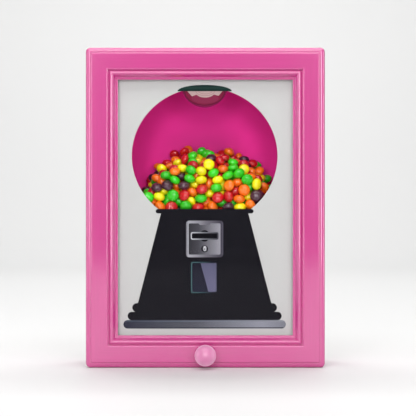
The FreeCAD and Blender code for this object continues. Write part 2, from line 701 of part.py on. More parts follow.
def filling_lid():
    lid = box(
        LID_GAP - LID_W / 2, LID_W / 2 - LID_GAP, LID_Y0 + LID_GAP + 0.2, LID_Y1 - LID_GAP,
        LID_Z0, CASE_TOP,
    )
    front_low = [
        e
        for e in lid.Edges
        if e.BoundBox.YMax < LID_Y0 + 1 and e.BoundBox.ZMax < LID_Z0 + 1e-3
    ]
    lid = lid.makeChamfer(2.0, front_low)
    lid = lid.cut(group(lid_leaf_screws() + lid_magnet_discs()))
    keep("fill_lid", lid)
    keep("lid_magnets", group(lid_magnet_discs()))
    keep("case_magnets", group(case_magnet_discs()))
    keep("lid_leaf_screws", group(lid_leaf_screws()))
    keep("case_leaf_screws", group(case_leaf_screws()))
    third = HINGE_W / 2 - 5.0
    pins = []
    for side, name in ((-1, "left"), (1, "right")):
        x = side * HINGE_X
        outer = [(-HINGE_W / 2, -third - 0.1), (third + 0.1, HINGE_W / 2)]
        case_leaf = hinge_leaf(x, 1, outer, CASE_LEAF_L, HINGE_PIN_R)
        lid_leaf = hinge_leaf(x, -1, [(-third, third)], LID_LEAF_L, HINGE_PIN_R + RUN_GAP)
        keep(f"case_hinge_leaf_{name}", case_leaf.cut(group(case_leaf_screws())))
        keep(f"lid_hinge_leaf_{name}", lid_leaf.cut(group(lid_leaf_screws())))
        ends = [(x + end * HINGE_W / 2, HINGE_AXIS_Y, HINGE_AXIS_Z) for end in (-1, 1)]
        pins.append(rod(HINGE_PIN_R, *ends))
    keep("hinge_pins", group(pins))


# ---- hangers and bumpers at the rear ---------------------------------------------------------
def hanger_screws():
    spots = [(sx * RING_X, RING_Z + dz) for sx in (-1, 1) for dz in (7.0, 17.0)]
    tip_y = REAR_Y + STRAP_T + 0.9
    return [
        screw(2.6, 0.9, 1.2, 13.0, (x, tip_y, z), (0, -1, 0), countersunk=False)
        for x, z in spots
    ]


def hanger_strap(x):
    plate = box(x - STRAP_W / 2, x + STRAP_W / 2, REAR_Y, REAR_Y + STRAP_T, RING_Z, RING_Z + STRAP_L)
    corners = [
        e for e in plate.Edges if e.BoundBox.YLength > 0.1 and e.BoundBox.ZMin > RING_Z + 1
    ]
    plate = plate.makeFillet(3.0, corners)
    ends = [(x + s * STRAP_W / 2, RING_AXIS_Y, RING_Z) for s in (-1, 1)]
    roll = rod(1.9, *ends)
    bore = rod(RING_BAR_R + RUN_GAP, (x - 9, RING_AXIS_Y, RING_Z), (x + 9, RING_AXIS_Y, RING_Z))
    return plate.fuse(roll).cut(bore).removeSplitter().cut(group(hanger_screws()))


def hanger_ring(x):
    """A D of round wire hanging from its straight bar."""
    y, z = RING_AXIS_Y, RING_Z
    r, half, drop = 2.0, RING_HALF, RING_DROP
    k = r * (1 - math.cos(math.pi / 4))
    path = [
        line(V(x, y, z), V(x + half - r, y, z)),
        arc(V(x + half - r, y, z), V(x + half - k, y, z - k), V(x + half, y, z - r)),
        line(V(x + half, y, z - r), V(x + half, y, z - drop + half)),
        arc(
            V(x + half, y, z - drop + half),
            V(x, y, z - drop),
            V(x - half, y, z - drop + half),
        ),
        line(V(x - half, y, z - drop + half), V(x - half, y, z - r)),
        arc(V(x - half, y, z - r), V(x - half + k, y, z - k), V(x - half + r, y, z)),
        line(V(x - half + r, y, z), V(x, y, z)),
    ]
    wire = Part.Wire(path)
    section = Part.Wire([Part.makeCircle(RING_BAR_R, V(x, y, z), V(1, 0, 0))])
    return wire.makePipeShell([section], True, True)


def rear_hardware():
    for sx, name in ((-1, "left"), (1, "right")):
        keep(f"hanger_strap_{name}", hanger_strap(sx * RING_X))
        keep(f"hanger_ring_{name}", hanger_ring(sx * RING_X))
    keep("hanger_screws", group(hanger_screws()))
    bumper = [(0, 0), (4.5, 0), (4.5, 1.2), (3.6, 2.6), (2.2, 3.3), (0, 3.5)]
    keep(
        "wall_bumpers",
        group([turned(bumper, (sx * RING_X, REAR_Y, 14.0), (0, 1, 0)) for sx in (-1, 1)]),
    )


# ---- build and write -------------------------------------------------------------------------
frame_rails()
pane_and_print()
case_boards()
corner_blocks()
back_panel()
hopper()
slide_guides()
slide_unit()
candy_fill()
filling_lid()
rear_hardware()

os.makedirs("parts", exist_ok=True)
for old in os.listdir("parts"):
    if old.endswith(".step") and old[:-5] not in nodes:
        os.remove(os.path.join("parts", old))
for name, shape in nodes.items():
    solids = shape.Solids
    if not solids or not all(s.isValid() and s.Volume > 0 for s in solids):
        raise SystemExit(f"{name} has a solid that is not sound")
    shape.exportStep(f"parts/{name}.step")
print(len(nodes), "nodes written")
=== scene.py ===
import json
import math
import random

import bmesh
import bpy
import numpy as np
from mathutils import Euler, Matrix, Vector

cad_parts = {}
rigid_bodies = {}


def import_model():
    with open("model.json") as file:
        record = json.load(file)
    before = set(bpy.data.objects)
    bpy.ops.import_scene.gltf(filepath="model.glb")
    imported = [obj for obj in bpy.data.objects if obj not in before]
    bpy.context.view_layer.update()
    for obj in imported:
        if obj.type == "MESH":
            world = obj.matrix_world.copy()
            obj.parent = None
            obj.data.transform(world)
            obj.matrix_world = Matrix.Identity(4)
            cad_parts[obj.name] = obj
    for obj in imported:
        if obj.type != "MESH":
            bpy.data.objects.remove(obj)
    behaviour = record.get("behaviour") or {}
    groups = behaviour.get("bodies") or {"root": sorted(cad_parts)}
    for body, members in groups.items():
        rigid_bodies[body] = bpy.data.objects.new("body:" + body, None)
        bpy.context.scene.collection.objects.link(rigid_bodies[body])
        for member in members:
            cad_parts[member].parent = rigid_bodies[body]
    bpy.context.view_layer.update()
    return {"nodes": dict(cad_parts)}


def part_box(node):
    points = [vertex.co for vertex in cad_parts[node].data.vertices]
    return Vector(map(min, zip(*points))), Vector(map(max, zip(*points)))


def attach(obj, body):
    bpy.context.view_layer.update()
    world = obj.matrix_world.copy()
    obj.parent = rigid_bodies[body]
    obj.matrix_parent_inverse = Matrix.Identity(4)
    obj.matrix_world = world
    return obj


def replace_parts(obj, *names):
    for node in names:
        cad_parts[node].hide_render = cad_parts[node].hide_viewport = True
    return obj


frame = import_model()

MM = 0.001

# ---- places taken from the frame -------------------------------------------------------------
HEAP_LOW, HEAP_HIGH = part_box("candy_fill")
POCKET_LOW, POCKET_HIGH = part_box("candy_portion")
RAMP_LOW, RAMP_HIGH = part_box("hopper_ramp_right")
COIN_LOW, COIN_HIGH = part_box("coin_plate_print")
SLOT_LOW, SLOT_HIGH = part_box("coin_slot_print")
RETURN_LOW, RETURN_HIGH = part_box("coin_return_print")
DOOR_LOW, DOOR_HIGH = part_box("chute_door_print")
PLINTH_LOW, PLINTH_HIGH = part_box("base_plate_print")
SHINE_LOW, SHINE_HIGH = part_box("globe_shine_print")
CASE_LOW, CASE_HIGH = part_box("case_bottom")
PANE_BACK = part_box("front_pane")[1].y
BACK_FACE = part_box("back_panel")[0].y
LID_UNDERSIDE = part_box("fill_lid")[0].z
GLOBE_X = (SHINE_LOW.x + SHINE_HIGH.x) / 2
GLOBE_Z = SHINE_HIGH.z - 69 * MM  # the globe's centre is this far under its lid
INSIDE_LOW = Vector((CASE_LOW.x, PANE_BACK, CASE_HIGH.z))
INSIDE_HIGH = Vector((CASE_HIGH.x, BACK_FACE, LID_UNDERSIDE))

# ---- candy -----------------------------------------------------------------------------------
CANDY_R = 6.5 * MM
CANDY_HALF_T = 4.5 * MM
CANDY_COLOURS = {
    "red": (196, 14, 24),
    "orange": (255, 116, 12),
    "yellow": (253, 236, 8),
    "green": (48, 200, 22),
    "plum": (74, 34, 54),
}
CANDY_SHARES = {"red": 24, "orange": 23, "yellow": 16, "green": 24, "plum": 13}

# ---- settling --------------------------------------------------------------------------------
SETTLED_FLOOR = 154 * MM  # below this the candy is out of sight and packed by rule
HEAP_LEAN = 0.42  # how steeply the heap falls towards the pane
BED_RISE = 92 * MM  # a level bed settles first, and the heap is what is left of it
START_STEP = 14.3 * MM  # spacing of the loose stack that is dropped, across
START_LAYER = 9.6 * MM  # and its spacing upwards
START_LOOSENESS = 1.98  # the loose stack is this much taller than it settles to
SETTLING_FRAMES = 50
WORLD_SCALE = 20.0  # the solver works at this scale, where its margins are small beside a candy
WALL_T = 60 * MM
WALL_TOP = 600 * MM  # higher than the loose stack
HIDDEN_PITCH = 13.4 * MM  # spacing of the candies packed by rule

# ---- lacquer and ink -------------------------------------------------------------------------
PINK = (0.49, 0.0265, 0.203, 1.0)
DEEP_PINK = (0.86, 0.0165, 0.305, 1.0)
ALONG = {"x": (6, 130, 130), "z": (130, 130, 6), "y": (130, 6, 130)}  # noise scales along a grain
INK_TONE = 0.85  # inks are named by how they look, and the studio light brightens them
INK_T = 0.06 * MM
INK_GAP = 0.01 * MM  # between the pane and the nearest ink

# ---- the photographed view -------------------------------------------------------------------
CAMERA_X = 2.8 * MM
CAMERA_Z = 169.5 * MM
CAMERA_Y = -1.440
CAMERA_LENS = 114.5
WORLD_STRENGTH = 0.22
LIGHT_TARGET = Vector((0, 0, 0.18))


def srgb(red, green, blue):
    """A display colour, 0 to 255, as the linear colour that shaders take."""

    def linear(value):
        share = value / 255
        return share / 12.92 if share <= 0.04045 else ((share + 0.055) / 1.055) ** 2.4

    return linear(red), linear(green), linear(blue), 1.0


# ---- materials -------------------------------------------------------------------------------
class Shader:
    """A material with one Principled shader, and short calls for the nodes that feed it."""

    def __init__(self, name, colour, roughness, **settings):
        self.material = bpy.data.materials.new(name)
        self.material.use_nodes = True
        self.tree = self.material.node_tree
        self.principled = self.tree.nodes["Principled BSDF"]
        self.set("Base Color", colour)
        self.set("Roughness", roughness)
        for socket, value in settings.items():
            self.set(socket.replace("_", " "), value)

    def set(self, socket, value):
        self.principled.inputs[socket].default_value = value

    def node(self, kind, **inputs):
        made = self.tree.nodes.new(kind)
        for socket, value in inputs.items():
            self.feed(made.inputs[socket.replace("_", " ")], value)
        return made

    def feed(self, socket, value):
        """Links an output to the socket, or sets a plain value on it."""
        if isinstance(value, bpy.types.NodeSocket):
            self.tree.links.new(value, socket)
        else:
            socket.default_value = value

    def place(self, scale=(1, 1, 1)):
        """Positions on the object, in metres, stretched by scale."""
        coords = self.node("ShaderNodeTexCoord")
        mapping = self.node("ShaderNodeMapping", Vector=coords.outputs["Object"])
        mapping.inputs["Scale"].default_value = scale
        return mapping.outputs["Vector"]

    def noise(self, scale, stretch=(1, 1, 1), detail=2.0):
        made = self.node("ShaderNodeTexNoise", Vector=self.place(stretch), Scale=scale)
        made.inputs["Detail"].default_value = detail
        return made.outputs["Fac"]

    def axis(self, name):
        """One coordinate on the object, in metres."""
        parts = self.node("ShaderNodeSeparateXYZ", Vector=self.place())
        return parts.outputs[name]

    def ramp(self, value, low, high, to_low=0.0, to_high=1.0):
        """Carries the stretch from low to high over to the stretch from to_low to to_high."""
        made = self.tree.nodes.new("ShaderNodeMapRange")
        self.feed(made.inputs["Value"], value)
        for socket, number in (
            ("From Min", low), ("From Max", high), ("To Min", to_low), ("To Max", to_high),
        ):
            made.inputs[socket].default_value = number
        return made.outputs["Result"]

    def math(self, operation, first, second=0.0):
        made = self.tree.nodes.new("ShaderNodeMath")
        made.operation = operation
        self.feed(made.inputs[0], first)
        self.feed(made.inputs[1], second)
        return made.outputs["Value"]

    def mix(self, share, first, second):
        """A colour between two, by share."""
        made = self.tree.nodes.new("ShaderNodeMix")
        made.data_type = "RGBA"
        self.feed(made.inputs["Factor"], share)
        self.feed(made.inputs["A"], first)
        self.feed(made.inputs["B"], second)
        return made.outputs["Result"]

    def gradient(self, value, stops):
        """A colour that runs through stops, which are pairs of place and colour."""
        made = self.node("ShaderNodeValToRGB", Fac=value)
        band = made.color_ramp
        while len(band.elements) < len(stops):
            band.elements.new(0.5)
        for element, (where, colour) in zip(band.elements, stops):
            element.position = where
            element.color = colour
        return made.outputs["Color"]

    def colour_from(self, socket):
        self.feed(self.principled.inputs["Base Color"], socket)

    def roughness_from(self, socket):
        self.feed(self.principled.inputs["Roughness"], socket)

    def bump(self, *layers):
        """Raises the surface by noise layers, each a height socket with its depth in metres."""
        normal = None
        for height, depth in layers:
            made = self.node("ShaderNodeBump", Height=height, Distance=depth)
            if normal is not None:
                self.feed(made.inputs["Normal"], normal)
            normal = made.outputs["Normal"]
        self.feed(self.principled.inputs["Normal"], normal)


def tinted(colour, factor):
    """A colour made darker or lighter by a factor."""
    return tuple(min(1.0, c * factor) for c in colour[:3]) + (1.0,)


def box_mask(paint, low, high):
    """One inside a box, given in metres on the object, and nothing outside it."""
    share = 1.0
    for axis, start, end in zip("XYZ", low, high):
        place = paint.axis(axis)
        above = paint.math("GREATER_THAN", place, start)
        below = paint.math("LESS_THAN", place, end)
        share = paint.math("MULTIPLY", share, paint.math("MULTIPLY", above, below))
    return share


def lacquer(name, grain):
    """Gloss lacquer on wood: the grain and the brush marks show faintly through it.

    Faces that look into the box have the deeper pink of the back."""
    paint = Shader(
        name, PINK, 0.42, Specular_IOR_Level=0.2, Coat_Weight=1.0, Coat_Roughness=0.10,
        Coat_IOR=2.0,
    )
    streaks = paint.noise(4.0, ALONG[grain], detail=5.0)
    clouds = paint.noise(14.0, detail=3.0)
    peel = paint.noise(900.0, detail=1.0)
    mixed = paint.mix(paint.ramp(streaks, 0.3, 0.7), tinted(PINK, 0.96), tinted(PINK, 1.03))
    worn = paint.mix(paint.ramp(clouds, 0.35, 0.75, 0.0, 0.06), mixed, tinted(PINK, 1.25))
    skin = Vector((0.3, 0.3, 0.3)) * MM
    inside = box_mask(paint, INSIDE_LOW - skin, INSIDE_HIGH + skin)
    paint.colour_from(paint.mix(inside, worn, DEEP_PINK))
    paint.roughness_from(paint.ramp(clouds, 0.3, 0.7, 0.38, 0.50))
    paint.bump((streaks, 0.0005 * MM), (peel, 0.0005 * MM))
    return paint.material


def knob_lacquer():
    """Thick, lighter pink lacquer over a turned ball, with a soft gloss and a pale rim."""
    colour = (0.50, 0.105, 0.275, 1.0)
    paint = Shader(
        "knob_lacquer", colour, 0.36, Coat_Weight=0.6, Coat_Roughness=0.34, Coat_IOR=1.8,
        Sheen_Weight=1.0, Sheen_Roughness=0.7, Sheen_Tint=(1.0, 0.60, 0.81, 1.0),
    )
    clouds = paint.noise(60.0, detail=3.0)
    paint.colour_from(paint.mix(clouds, tinted(colour, 0.93), tinted(colour, 1.08)))
    paint.bump((paint.noise(700.0, detail=1.0), 0.002 * MM))
    return paint.material


def back_board():
    """Deep pink paint on the side that faces the candy, bare pressed board on the wall side.

    The pink is painted darker in the middle of the globe and lighter towards its rim, where less
    light falls in: painted light and shade that evens out the light there."""
    paint = Shader("back_board", DEEP_PINK, 0.6, Specular_IOR_Level=0.2)
    # painted light and shade: the pink is darker at the globe's middle and lighter with distance from
    # it, to cancel the uneven light through the window
    across = paint.math("SUBTRACT", paint.axis("X"), GLOBE_X)
    upward = paint.math("SUBTRACT", paint.axis("Z"), GLOBE_Z)
    squares = paint.math(
        "ADD", paint.math("MULTIPLY", across, across), paint.math("MULTIPLY", upward, upward)
    )
    rim_painted_light = paint.ramp(paint.math("SQRT", squares), 20 * MM, 80 * MM)
    clouds = paint.ramp(paint.noise(30.0, detail=3.0), 0.3, 0.7, -0.06, 0.06)
    inside = paint.mix(
        paint.math("ADD", rim_painted_light, clouds), tinted(DEEP_PINK, 0.74), tinted(DEEP_PINK, 1.16)
    )
    fibres = paint.noise(420.0, (1, 1, 3), detail=6.0)
    flecks = paint.noise(90.0, detail=4.0)
    board = paint.mix(paint.ramp(fibres, 0.3, 0.7), srgb(112, 76, 48), srgb(158, 114, 78))
    board = paint.mix(paint.ramp(flecks, 0.55, 0.75, 0.0, 0.35), board, srgb(84, 55, 35))
    outer = paint.ramp(paint.axis("Y"), BACK_FACE + 0.5 * MM, BACK_FACE + 0.6 * MM)
    paint.colour_from(paint.mix(outer, inside, board))
    paint.bump((fibres, 0.06 * MM))
    return paint.material


def bare_wood(name, grain, light=(214, 178, 130), dark=(178, 134, 86)):
    """Sanded hardwood with rings that wander along the grain."""
    wood = Shader(name, srgb(*light), 0.62)
    stretch = tuple(s / 10 for s in ALONG[grain])
    warp = wood.noise(9.0, stretch, detail=4.0)
    rings = wood.math("SINE", wood.math("MULTIPLY", warp, 60.0))
    pores = wood.noise(60.0, stretch, detail=6.0)
    base = wood.mix(wood.ramp(rings, -1.0, 1.0, 0.0, 0.7), srgb(*light), srgb(*dark))
    wood.colour_from(wood.mix(wood.ramp(pores, 0.55, 0.75, 0.0, 0.5), base, srgb(128, 88, 50)))
    wood.bump((pores, 0.08 * MM))
    return wood.material


def clear_acrylic():
    """A pane that lets everything through and mirrors a little, more at a slant."""
    made = bpy.data.materials.new("clear_acrylic")
    made.use_nodes = True
    tree = made.node_tree
    tree.nodes.clear()
    through = tree.nodes.new("ShaderNodeBsdfTransparent")
    through.inputs["Color"].default_value = (0.985, 0.99, 0.99, 1.0)
    mirror = tree.nodes.new("ShaderNodeBsdfGlossy")
    mirror.inputs["Color"].default_value = (0.35, 0.35, 0.35, 1.0)
    mirror.inputs["Roughness"].default_value = 0.03
    slant = tree.nodes.new("ShaderNodeLayerWeight")
    slant.inputs["Blend"].default_value = 0.5
    steep = tree.nodes.new("ShaderNodeMath")
    steep.operation = "POWER"
    steep.inputs[1].default_value = 5.0
    share = tree.nodes.new("ShaderNodeMath")
    share.operation = "MULTIPLY_ADD"
    share.inputs[1].default_value = 0.95
    share.inputs[2].default_value = 0.007
    mixed = tree.nodes.new("ShaderNodeMixShader")
    output = tree.nodes.new("ShaderNodeOutputMaterial")
    tree.links.new(slant.outputs["Facing"], steep.inputs[0])
    tree.links.new(steep.outputs["Value"], share.inputs[0])
    tree.links.new(share.outputs["Value"], mixed.inputs["Fac"])
    tree.links.new(through.outputs["BSDF"], mixed.inputs[1])
    tree.links.new(mirror.outputs["BSDF"], mixed.inputs[2])
    tree.links.new(mixed.outputs["Shader"], output.inputs["Surface"])
    return made


def ink(name, colour, variation=0.06):
    """Flat printed ink with the fine grain of its paper."""
    colour = tinted(colour, INK_TONE)
    print_ = Shader(name, colour, 0.65, Specular_IOR_Level=0.06)
    fibre = print_.noise(1400.0, detail=3.0)
    dark, light = tinted(colour, 1 - variation), tinted(colour, 1 + variation)
    print_.colour_from(print_.mix(print_.ramp(fibre, 0.3, 0.7), dark, light))
    print_.bump((fibre, 0.001 * MM))
    return print_.material


def ink_gradient(name, axis, low, high, stops):
    """Printed ink that fades across the shape, as a drawn metal sheen does."""
    stops = [(place, tinted(colour, INK_TONE)) for place, colour in stops]
    print_ = Shader(name, stops[0][1], 0.65, Specular_IOR_Level=0.06)
    share = print_.ramp(print_.axis(axis), low, high)
    fibre = print_.noise(1400.0, detail=3.0)
    wobble = print_.math("ADD", share, print_.ramp(fibre, 0.3, 0.7, -0.03, 0.03))
    print_.colour_from(print_.gradient(wobble, stops))
    return print_.material


def metal(name, colour, roughness, grain=(1, 1, 1)):
    """Plated metal with fine drawn marks and slightly uneven polish."""
    plate = Shader(name, colour, roughness, Metallic=1.0)
    marks = plate.noise(500.0, grain, detail=3.0)
    smudge = plate.noise(120.0, detail=2.0)
    plate.colour_from(plate.mix(smudge, tinted(colour, 0.86), tinted(colour, 1.08)))
    plate.roughness_from(plate.ramp(marks, 0.3, 0.7, roughness - 0.07, roughness + 0.1))
    plate.bump((marks, 0.01 * MM))
    return plate.material


def foam():
    tape = Shader("foam_tape", (0.03, 0.03, 0.03, 1.0), 0.95)
    cells = tape.noise(2200.0, detail=2.0)
    tape.colour_from(tape.mix(cells, (0.015, 0.015, 0.015, 1.0), (0.06, 0.06, 0.06, 1.0)))
    tape.bump((cells, 0.1 * MM))
    return tape.material


def soft_bumper():
    dome = Shader(
        "bumper", (0.72, 0.72, 0.70, 1.0), 0.35, Transmission_Weight=0.35,
        Subsurface_Weight=0.3, Subsurface_Scale=0.002,
    )
    haze = dome.noise(300.0, detail=2.0)
    dome.colour_from(dome.mix(haze, (0.66, 0.66, 0.63, 1.0), (0.80, 0.80, 0.78, 1.0)))
    return dome.material


def sugar_shell(name, colour):
    """Glossy sugar shell: polish over slightly uneven colour, each candy a shade apart."""
    shell = Shader(
        name, colour, 0.38, Specular_IOR_Level=0.2, Coat_Weight=0.9, Coat_Roughness=0.09,
        Subsurface_Weight=0.08, Subsurface_Scale=0.002,
    )
    shade = shell.tree.nodes.new("ShaderNodeAttribute")
    shade.attribute_name = "shade"
    mottle = shell.noise(380.0, detail=3.0)
    pale = tuple(c * 0.9 + 0.1 for c in colour[:3]) + (1.0,)
    each = shell.mix(shade.outputs["Fac"], tinted(colour, 0.79), tinted(colour, 1.09))
    shell.colour_from(shell.mix(shell.ramp(mottle, 0.45, 0.85, 0.0, 0.20), each, pale))
    shell.bump((shell.noise(120.0, detail=1.0), 0.06 * MM), (mottle, 0.005 * MM))
    return shell.material


def cover(material, *names):
    """Gives CAD nodes a material."""
    for name in names:
        slots = frame["nodes"][name].data.materials
        slots.clear()
        slots.append(material)


def paint_wood():
    across, upright = (lacquer(f"pink_lacquer_{grain}", grain) for grain in "xz")
    cover(across, "frame_rail_top", "frame_rail_bottom", "case_top", "case_bottom", "fill_lid")
    cover(upright, "frame_rail_left", "frame_rail_right", "case_side_left", "case_side_right")
    cover(back_board(), "back_panel")
    cover(knob_lacquer(), "knob")
    cover(
        bare_wood("beech_across", "x"),
        "hopper_ramp_left", "hopper_ramp_right", "throat_funnel", "corner_blocks", "case_dowels",
    )
    cover(
        bare_wood("beech_deep", "y", (205, 166, 118), (170, 124, 78)),
        "slide_guide_left", "slide_guide_right", "portion_slide", "frame_dowels",
        "ramp_cleat_left", "ramp_cleat_right",
    )


def paint_metal():
    cover(
        metal("zinc_plate", (0.62, 0.63, 0.64, 1.0), 0.30),
        "frame_corner_nails", "back_panel_screws", "mechanism_screws", "hanger_screws",
        "hanger_strap_left", "hanger_strap_right", "case_magnets", "lid_magnets", "knob_washer",
    )
    cover(
        metal("bright_steel", (0.70, 0.70, 0.71, 1.0), 0.18, (0.2, 1, 1)),
        "hanger_ring_left", "hanger_ring_right", "pull_rod",
    )
    cover(
        metal("brass_plate", (0.80, 0.58, 0.26, 1.0), 0.26),
        "case_hinge_leaf_left", "case_hinge_leaf_right", "lid_hinge_leaf_left",
        "lid_hinge_leaf_right", "hinge_pins", "case_leaf_screws", "lid_leaf_screws",
        "slide_insert", "knob_insert", "rod_bush",
    )


def paint_plastic():
    cover(clear_acrylic(), "front_pane")
    cover(foam(), "pane_gasket")
    cover(soft_bumper(), "wall_bumpers")


def paint_prints():
    cover(ink("print_background", (0.62, 0.61, 0.603, 1.0), 0.02), "background_print")
    cover(ink("print_black", (0.0085, 0.0075, 0.0115, 1.0), 0.2), "machine_body_print")
    cover(ink("print_shine_rim", (0.21, 0.009, 0.062, 1.0), 0.05), "globe_shine_print")
    plinth = [
        (0.0, srgb(50, 50, 66)), (0.45, srgb(92, 93, 102)), (0.85, srgb(150, 151, 163)),
        (1.0, srgb(128, 129, 140)),
    ]
    coin_face = [
        (0.08, srgb(52, 51, 56)), (0.35, srgb(74, 72, 80)), (0.60, srgb(115, 113, 121)),
        (0.92, srgb(154, 151, 160)),
    ]
    door = [(0.0, srgb(40, 39, 55)), (1.0, srgb(30, 28, 41))]
    cap = [
        (0.0, srgb(28, 60, 56)), (0.12, srgb(17, 44, 40)), (0.5, srgb(40, 66, 61)),
        (0.9, srgb(20, 44, 40)), (1.0, srgb(17, 38, 35)),
    ]
    cap_top = SHINE_HIGH.z + 7 * MM
    for node, name, axis, low, high, stops in (
        ("base_plate_print", "print_plinth", "X", PLINTH_LOW.x, PLINTH_HIGH.x, plinth),
        ("coin_plate_print", "print_coin_face", "X", COIN_LOW.x, COIN_HIGH.x, coin_face),
        ("chute_door_print", "print_door_dark", "Z", DOOR_LOW.z, DOOR_HIGH.z, door),
        ("cap_print", "print_cap", "Z", SHINE_HIGH.z, cap_top, cap),
    ):
        cover(ink_gradient(name, axis, low, high, stops), node)


# ---- mesh helpers ----------------------------------------------------------------------------
def new_piece(name, mesh, material, body="cabinet"):
    piece = bpy.data.objects.new(name, mesh)
    bpy.context.scene.collection.objects.link(piece)
    mesh.materials.append(material)
    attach(piece, body)
    return piece


def rounded_rectangle(centre, width, height, radius, corner_points=8):
    """Corners of a rounded rectangle in X and Z, anticlockwise from the right."""
    points = []
    for turn, (sx, sz) in enumerate(((1, 1), (-1, 1), (-1, -1), (1, -1))):
        corner_x = centre[0] + sx * (width / 2 - radius)
        corner_z = centre[1] + sz * (height / 2 - radius)
        for i in range(corner_points + 1):
            angle = math.radians(90 * (turn + i / corner_points))
            points.append(
                (corner_x + radius * math.cos(angle), corner_z + radius * math.sin(angle))
            )
    return points


def circle_points(centre, radius_x, radius_z, start=0, end=360, count=48):
    """Points on an ellipse between two angles, in degrees. A whole turn leaves out its last."""
    steps = count if end - start >= 360 else count - 1
    angles = [math.radians(start + (end - start) * i / steps) for i in range(count)]
    return [(centre[0] + radius_x * math.cos(a), centre[1] + radius_z * math.sin(a)) for a in angles]


def printed_shape(name, outline, front_y, material, hole=None):
    """A thin printed shape whose face is at front_y. With a hole of as many points, a ring."""
    mesh = bmesh.new()
    layers = []
    for y in (front_y, front_y + INK_T):
        loops = [[mesh.verts.new((x, y, z)) for x, z in outline]]
        if hole:
            loops.append([mesh.verts.new((x, y, z)) for x, z in hole])
        layers.append(loops)
    count = len(outline)
    for loops in layers:
        if hole:
            for i in range(count):
                j = (i + 1) % count
                mesh.faces.new((loops[0][i], loops[0][j], loops[1][j], loops[1][i]))
        else:
            mesh.faces.new(loops[0])
    for front, rear in zip(*layers):
        for i in range(count):
            j = (i + 1) % count
            mesh.faces.new((front[i], front[j], rear[j], rear[i]))
    bmesh.ops.recalc_face_normals(mesh, faces=mesh.faces)
    data = bpy.data.meshes.new(name)
    mesh.to_mesh(data)
    mesh.free()
    return new_piece(name, data, material)


def middle(low, high):
    return (low.x + high.x) / 2, (low.z + high.z) / 2


def print_coin_plate():
    """The drawn coin plate's bright border, with a tab that hangs from its top edge."""
    centre = middle(COIN_LOW, COIN_HIGH)
    width, height = COIN_HIGH.x - COIN_LOW.x, COIN_HIGH.z - COIN_LOW.z
    y = COIN_LOW.y - INK_T
    border = 2.9 * MM
    sheen = ink_gradient(
        "print_coin_border", "X", COIN_LOW.x, COIN_HIGH.x,
        [
            (0.0, srgb(112, 110, 118)), (0.06, srgb(172, 170, 178)), (0.22, srgb(160, 158, 166)),
            (0.55, srgb(112, 108, 118)), (0.94, srgb(68, 64, 76)), (1.0, srgb(92, 88, 102)),
        ],
    )
    outline = rounded_rectangle(centre, width, height, 3.5 * MM)
    inner = rounded_rectangle(centre, width - 2 * border, height - 2 * border, 1.2 * MM)
    printed_shape("coin_plate_border", outline, y, sheen, inner)
    tab_half, tab_drop = 6.6 * MM, 1.7 * MM
    top = COIN_HIGH.z - border
    tab = [
        (centre[0] - tab_half, top), (centre[0] - tab_half + tab_drop, top - tab_drop),
        (centre[0] + tab_half - tab_drop, top - tab_drop), (centre[0] + tab_half, top),
    ]
    printed_shape("coin_plate_tab", tab, y, sheen)


def stack_of_ink(node, shapes):
    """Shapes one behind the other that take the place of a CAD print. Layer 0 is the nearest."""
    for name, outline, layer, material, opening in shapes:
        front_y = SLOT_LOW.y + INK_GAP + layer * INK_T
        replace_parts(printed_shape(name, outline, front_y, material, opening), node)


def print_coin_slot():
    """The drawn slot: a dark disc behind a bar with a bright edge and a deeper middle."""
    edge = ink_gradient(
        "print_slot_edge", "X", SLOT_LOW.x, SLOT_HIGH.x,
        [(0.0, srgb(196, 196, 204)), (0.5, srgb(120, 120, 128)), (1.0, srgb(70, 68, 78))],
    )
    dark = ink("print_slot_dark", srgb(26, 25, 32), 0.1)
    deep = ink("print_slot_deep", srgb(14, 13, 19), 0.1)
    slot = middle(SLOT_LOW, SLOT_HIGH)
    width, height = SLOT_HIGH.x - SLOT_LOW.x, 8.2 * MM
    disc_r = (SLOT_HIGH.z - SLOT_LOW.z) / 2
    disc = circle_points(slot, disc_r * 0.9, disc_r)
    bar = rounded_rectangle(slot, width, height, 2.0 * MM)
    rim = rounded_rectangle(slot, width - 2.4 * MM, height - 2.6 * MM, 1.2 * MM)
    depth = rounded_rectangle(slot, width - 5.0 * MM, height - 4.4 * MM, 1.0 * MM)
    stack_of_ink("coin_slot_print", (
        ("coin_slot_disc", disc, 2, deep, None),
        ("coin_slot_bar", bar, 1, dark, None),
        ("coin_slot_edge", bar, 0, edge, rim),
        ("coin_slot_depth", depth, 0, deep, None),
    ))


def print_coin_return():
    """The drawn return button: a dark rim, a chrome face and a dark mark on it."""
    dark = ink("print_return_dark", srgb(26, 25, 32), 0.1)
    deep = ink("print_return_deep", srgb(14, 13, 19), 0.1)
    hole = middle(RETURN_LOW, RETURN_HIGH)
    hole_r = (RETURN_HIGH.x - RETURN_LOW.x) / 2
    chrome = ink_gradient(
        "print_return_face", "X", hole[0] - 2.2 * MM, hole[0] + 2.2 * MM,
        [(0.0, srgb(96, 94, 104)), (0.55, srgb(226, 225, 230)), (1.0, srgb(118, 116, 126))],
    )
    rim = circle_points(hole, hole_r, hole_r)
    face = circle_points((hole[0] + 0.2 * MM, hole[1] + 0.3 * MM), 2.1 * MM, 2.7 * MM)
    mark = circle_points((hole[0] + 0.1 * MM, hole[1] - 0.4 * MM), 0.35 * MM, 1.3 * MM)
    stack_of_ink("coin_return_print", (
        ("coin_return_rim", rim, 2, dark, None),
        ("coin_return_face", face, 1, chrome, None),
        ("coin_return_mark", mark, 0, deep, None),
    ))


